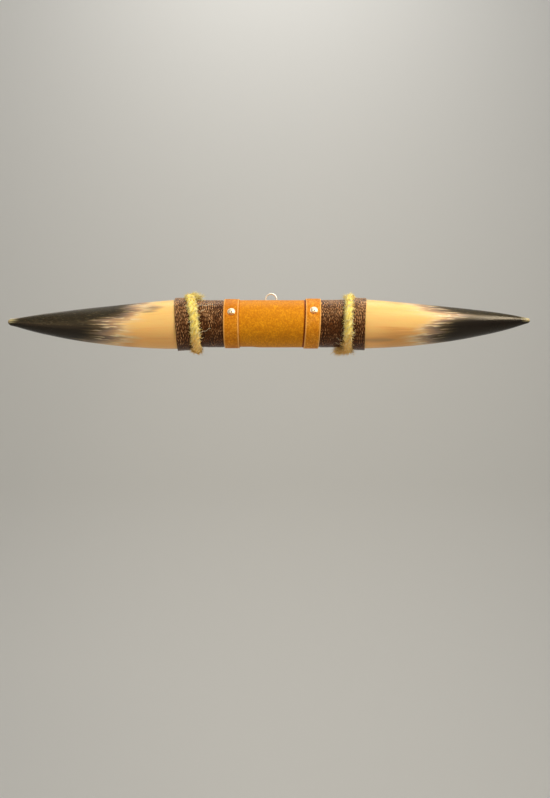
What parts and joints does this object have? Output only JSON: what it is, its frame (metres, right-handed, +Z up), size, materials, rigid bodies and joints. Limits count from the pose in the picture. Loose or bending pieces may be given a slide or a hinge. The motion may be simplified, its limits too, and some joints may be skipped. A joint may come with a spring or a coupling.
{
  "type": "mounted horn",
  "caption": "Wall hanging of polished cattle horns set end to end on a leather covered round core, tied with rope and hung level from a metal eye.",
  "frame": {"origin": "inside top of the screw eye, where a hook in the wall carries the piece", "axes": "+X along the core to the viewer's right, -Y to the front, away from the wall, +Z up"},
  "size_m": [0.5935, 0.077, 0.0749],
  "materials": {
    "wood": "plain turned wood",
    "horn": "polished horn, cream at the base and streaked into black at the tip",
    "tan_leather": "smooth tan leather with a fine mottle",
    "brown_leather": "dark brown grained leather with a soft shine",
    "strap_leather": "smooth tan strap leather with burnished edges",
    "rope": "fuzzy straw yellow twisted fibre",
    "nickel": "polished nickel",
    "steel": "bright plated wire"
  },
  "bodies": {
    "root": {"wooden_core": "wood", "horn_left": "horn", "horn_right": "horn", "centre_wrap": "tan_leather", "sleeve_left": "brown_leather", "sleeve_right": "brown_leather", "strap_left": "strap_leather", "strap_right": "strap_leather", "stud_left": "nickel", "stud_right": "nickel", "rope_left": "rope", "rope_right": "rope", "screw_eye": "steel"}
  },
  "joints": []
}
